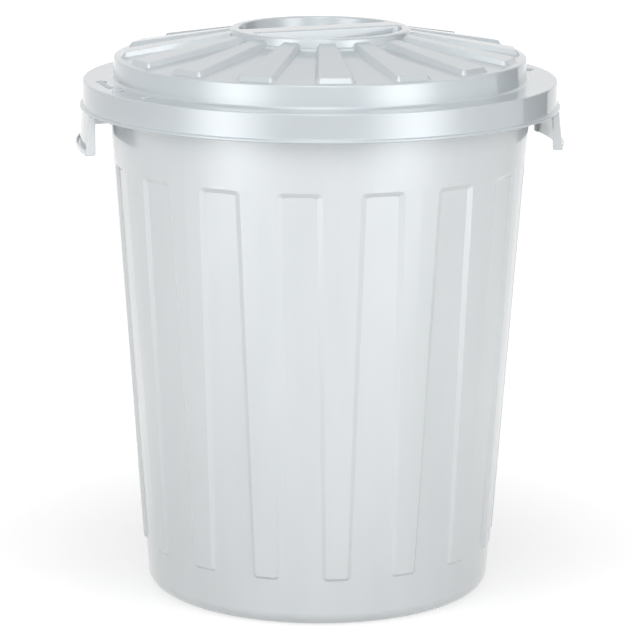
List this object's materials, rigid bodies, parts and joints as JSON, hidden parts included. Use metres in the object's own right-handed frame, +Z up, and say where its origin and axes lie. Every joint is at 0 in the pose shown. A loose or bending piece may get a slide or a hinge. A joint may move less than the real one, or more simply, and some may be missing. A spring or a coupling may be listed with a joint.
{
  "type": "trash can",
  "caption": "Round tapered plastic trash can with ribbed tub, turned-out rim, side grips under the rim and a lift-off domed lid with radial bars and a sunken grip.",
  "frame": {"origin": "centre of the tub's foot ring, on the floor", "axes": "+Z up along the axis of the can; the side handles lie on +X and -X; the front of the picture is towards -Y"},
  "size_m": [0.5162, 0.5068, 0.601],
  "materials": {
    "tub_plastic": "satin moulded silver grey",
    "lid_plastic": "semi-gloss moulded silver grey",
    "handle_plastic": "satin moulded silver grey"
  },
  "bodies": {
    "tub": {"tub": "tub_plastic", "left_handle": "handle_plastic", "right_handle": "handle_plastic"},
    "lid": {"lid": "lid_plastic"}
  },
  "joints": [
    {"name": "lid_lift", "type": "slide", "parent": "tub", "child": "lid", "axis": [0, 0, 1], "range_m": [0, 0.2]}
  ]
}
